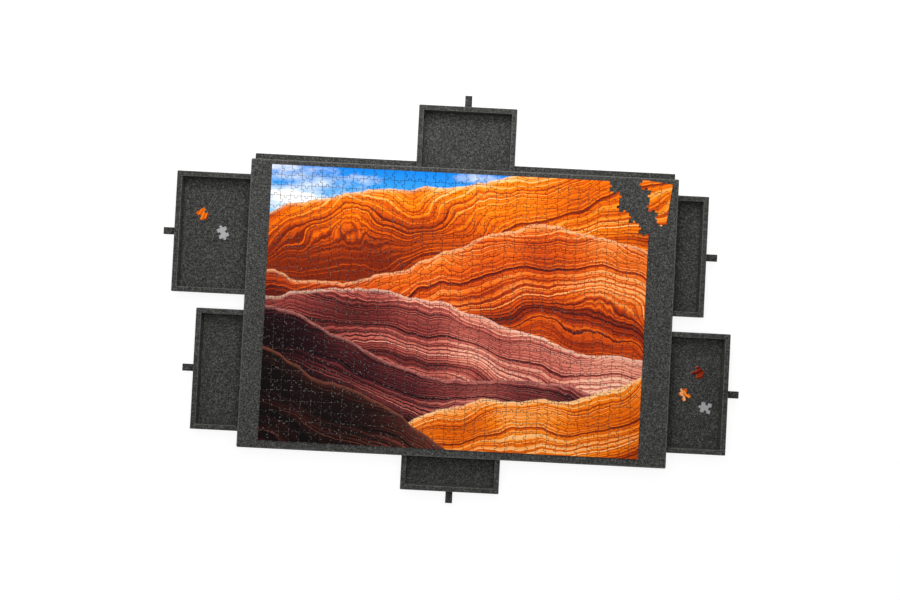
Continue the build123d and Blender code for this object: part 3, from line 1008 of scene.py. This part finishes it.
class JigsawCutter:
    """Cuts any cells out of the one jigsaw, which fills the sheet's box, so that all pieces fit."""

    def __init__(self):
        self.tree, self.keys = jigsaw_tree()
        jigsaw = settings().jigsaw
        low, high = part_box("jigsaw_sheet")
        self.size = high - low
        self.cell = Vector((self.size.x / jigsaw.columns, self.size.y / jigsaw.rows))
        self.values = {
            "Sheet Size": tuple(self.size), "Tilt": jigsaw.tilt, "Drift": jigsaw.drift,
            "Drift Size": jigsaw.drift_size, "Seed": JIGSAW_SEED,
            "picture": picture_material("jigsaw_picture", self.size),
            "card_edge": card_material("jigsaw_card_edge", jigsaw.card_shade, layers=4.0),
            "card_back": card_material("jigsaw_card_back", jigsaw.back_shade, layers=1.0),
        }

    def across(self, columns, rows):
        """The way across the jigsaw that some columns and rows take up."""
        return Vector((columns * self.cell.x, rows * self.cell.y, 0.0))

    def middle(self, cell):
        """The middle of a cell in the jigsaw."""
        return self.across(cell[0] + 0.5, cell[1] + 0.5)

    def cut(self, name, cells, knob_steps):
        """The mesh of these cells' pieces, still at their place in the jigsaw."""
        cells = list(cells)
        sides = [piece_sides(*cell) for cell in cells]
        found = sorted(set(sides))
        shapes = bpy.data.collections.new(f"{name}_shapes")
        for number, kind in enumerate(found):
            shape = piece_shape(f"{name}_shape_{number:02d}", kind, self.cell, self.size.z, knob_steps)
            shapes.objects.link(shape)
        points = bpy.data.meshes.new(f"{name}_cells")
        points.from_pydata([self.middle(cell) for cell in cells], [], [])
        store(points, "shape", "INT", "POINT", [found.index(kind) for kind in sides])
        store(points, "cell", "INT", "POINT", [column + ROW_KEY * row for column, row in cells])
        source = new_object(f"{name}_cells", points)
        mesh = grow(source, self.tree, self.keys, {"Shapes": shapes, **self.values})
        for shape in list(shapes.objects):
            bpy.data.meshes.remove(shape.data)
        bpy.data.collections.remove(shapes)
        unwrap_pieces(mesh)
        return mesh


def unwrap_pieces(mesh):
    """Flat map for baking: printed faces in its lower half, cuts and backs in its upper half."""
    printed = mesh.attributes["picture"].data
    offset = mesh.attributes["map_offset"].data
    finish = mesh.attributes["finish"].data
    low = [min(item.vector[axis] for item in printed) for axis in range(2)]
    high = [max(item.vector[axis] for item in printed) for axis in range(2)]
    layer = mesh.uv_layers.new(name="OFBake")
    for face in mesh.polygons:
        hidden = finish[face.index].value != PICTURE
        for loop in face.loop_indices:
            vert = mesh.loops[loop].vertex_index
            place = printed[vert].vector
            if hidden:
                place = place + offset[vert].vector
            spot = [(place[axis] - low[axis]) / (high[axis] - low[axis]) for axis in range(2)]
            across, up = [MAP_MARGIN + (1.0 - 2.0 * MAP_MARGIN) * part for part in spot]
            layer.data[loop].uv = (across, 0.5 * (up + hidden))
    mesh.attributes.remove(mesh.attributes["map_offset"])


def move_print(mesh, shift):
    """Lets a piece show a part of the picture that lies a shift away from its own."""
    for item in mesh.attributes["picture"].data:
        item.vector = Vector(item.vector) + shift


def loose_place(node, loose):
    """The place and turn of a loose piece's middle in its drawer."""
    spot = drawer_place(loose.drawer)
    height = sum(corner.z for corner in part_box(node)) / 2.0
    rise = height - spot.translation.z
    spot = spot @ Matrix.Translation((-loose.behind * MM, loose.aside * MM, rise))
    spot = spot @ Matrix.Rotation(math.radians(loose.turn), 4, "Z")
    if loose.face_down:
        spot = spot @ Matrix.Rotation(math.pi, 4, "Y")
    return spot


class JIGSAW_BOARD_OT_jigsaw(bpy.types.Operator):
    """Cuts the jigsaw: the joined sheet, the corner that lies apart and the loose pieces in two drawers"""

    bl_idname = "jigsaw_board.jigsaw"
    bl_label = "Cut Jigsaw"

    def execute(self, context):
        jigsaw = settings().jigsaw
        cutter = JigsawCutter()
        home = Matrix.Translation(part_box("jigsaw_sheet")[0])
        sheet = cutter.cut("jigsaw_sheet", cells_of_sheet(), SHEET_KNOB_STEPS)
        sheet.transform(home)
        show(sheet, "jigsaw_sheet_pieces", "carcass", "jigsaw_sheet")
        outer = Matrix.Translation((cutter.size.x, cutter.size.y, 0.0))
        shift = Matrix.Translation((*jigsaw.corner_shift, 0.0))
        turn = Matrix.Rotation(jigsaw.corner_turn, 4, "Z")
        corner = cutter.cut("jigsaw_corner", cells_of_corner(), LOOSE_KNOB_STEPS)
        corner.transform(home @ shift @ outer @ turn @ outer.inverted())
        show(corner, "jigsaw_corner_pieces", "carcass", "jigsaw_corner")
        for index, loose in enumerate(LOOSE_PIECES):
            node = f"loose_piece_{index + 1}"
            cell = cell_of_loose(index)
            piece = cutter.cut(node, [cell], LOOSE_KNOB_STEPS)
            move_print(piece, cutter.across(*loose.print_shift))
            middle = cutter.middle(cell) + Vector((0.0, 0.0, cutter.size.z / 2.0))
            piece.transform(loose_place(node, loose) @ Matrix.Translation(-middle))
            show(piece, f"{node}_card", f"{loose.drawer}_drawer", node)
        return {"FINISHED"}


def seen_directly(net):
    """1 for what the camera sees, also in a mirror or through glass, and 0 for light on other surfaces."""
    path = net.add("LightPath").outputs
    seen = net.math("ADD", path["Is Camera Ray"], path["Is Glossy Ray"], clamp=True)
    return net.math("ADD", seen, path["Is Transmission Ray"], clamp=True)


def stage_floor(shade):
    """A wide pale floor under the board. The camera sees it near white, with the board's shadow."""
    mesh = bpy.data.meshes.new("floor")
    ends = ((-1, -1), (1, -1), (1, 1), (-1, 1))
    corners = [(FLOOR_HALF * x, FLOOR_HALF * y, FLOOR_LEVEL) for x, y in ends]
    mesh.from_pydata(corners, [], [(0, 1, 2, 3)])
    material, net = new_material("floor")
    matt = net.out("BsdfDiffuse", shade)
    pale = net.out("BsdfDiffuse", FLOOR_SHADOW)
    away = net.add("VectorMath", net.place(), operation="LENGTH").outputs["Value"]
    strength = net.between(away, GLOW_NEAR, GLOW_FAR, GLOW_LEAST, GLOW_MOST)
    glow = net.out("Emission", WHITE, strength)
    lifted = net.out("AddShader", pale, glow)
    net.add("OutputMaterial", net.out("MixShader", seen_directly(net), matt, lifted))
    mesh.materials.append(material)
    new_object("floor", mesh)


def soft_lamp(name, place, size, power):
    """A square lamp that points at the middle of the board."""
    data = bpy.data.lights.new(name, "AREA")
    data.shape = "SQUARE"
    data.size = size
    data.energy = power
    lamp = new_object(name, data)
    lamp.location = place
    lamp.rotation_euler = (-Vector(place)).to_track_quat("-Z", "Y").to_euler()


def stage_light(stage):
    """A little light from all round, more of it low down, a large lamp above and a smaller one behind."""
    world = bpy.data.worlds.new("studio")
    world.use_nodes = True
    net = NodeNet(world.node_tree)
    way = net.add("TexCoord").outputs["Generated"]
    up = net.parts(way)[2]
    around = net.between(up, 0.0, stage.ring_height, stage.fill + stage.ring, stage.fill)
    strength = net.between(seen_directly(net), 0.0, 1.0, around, 1.0)
    net.add("OutputWorld", net.out("Background", WHITE, strength))
    bpy.context.scene.world = world
    soft_lamp("top_lamp", stage.top_lamp_place, stage.top_lamp_size, stage.top_lamp_power)
    soft_lamp("rear_lamp", stage.rear_lamp_place, stage.rear_lamp_size, stage.rear_lamp_power)


class JIGSAW_BOARD_OT_stage(bpy.types.Operator):
    """Sets up the camera, the light and the floor"""

    bl_idname = "jigsaw_board.stage"
    bl_label = "Stage"

    def execute(self, context):
        stage = settings().stage
        stage_floor(stage.floor_shade)
        stage_light(stage)
        camera = new_object("camera", bpy.data.cameras.new("camera"))
        camera.data.sensor_width = SENSOR_WIDTH
        camera.data.lens = stage.lens
        camera.location = stage.camera_place
        camera.rotation_euler = Euler(stage.camera_turn, "XYZ")
        context.scene.camera = camera
        context.scene.view_settings.view_transform = "Standard"
        return {"FINISHED"}


class JIGSAW_BOARD_PT_sidebar(bpy.types.Panel):
    """Lists the steps that dress the jigsaw board"""

    bl_idname = "JIGSAW_BOARD_PT_sidebar"
    bl_label = "Jigsaw Board"
    bl_space_type = "VIEW_3D"
    bl_region_type = "UI"
    bl_category = "Jigsaw Board"

    def draw(self, context):
        for operator in OPERATORS:
            self.layout.operator(operator.bl_idname)
        board = context.scene.jigsaw_board
        for group in (board.felt, board.pull, board.jigsaw, board.stage):
            box = self.layout.box()
            for name in group.bl_rna.properties.keys():
                if name not in ("rna_type", "name"):
                    box.prop(group, name)


GROUPS = (FeltSettings, PullSettings, JigsawSettings, StageSettings, JigsawBoardSettings)
OPERATORS = (
    JIGSAW_BOARD_OT_panels,
    JIGSAW_BOARD_OT_drawers,
    JIGSAW_BOARD_OT_pulls,
    JIGSAW_BOARD_OT_jigsaw,
    JIGSAW_BOARD_OT_stage,
)


def register():
    """Registers the settings, the operators and the panel."""
    for item in (*GROUPS, *OPERATORS, JIGSAW_BOARD_PT_sidebar):
        bpy.utils.register_class(item)
    bpy.types.Scene.jigsaw_board = PointerProperty(type=JigsawBoardSettings)


def unregister():
    """Removes what register() added."""
    del bpy.types.Scene.jigsaw_board
    for item in reversed((*GROUPS, *OPERATORS, JIGSAW_BOARD_PT_sidebar)):
        bpy.utils.unregister_class(item)


def main():
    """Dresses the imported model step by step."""
    register()
    bpy.ops.jigsaw_board.panels()
    bpy.ops.jigsaw_board.drawers()
    bpy.ops.jigsaw_board.pulls()
    bpy.ops.jigsaw_board.jigsaw()
    bpy.ops.jigsaw_board.stage()


if __name__ == "__main__":
    main()
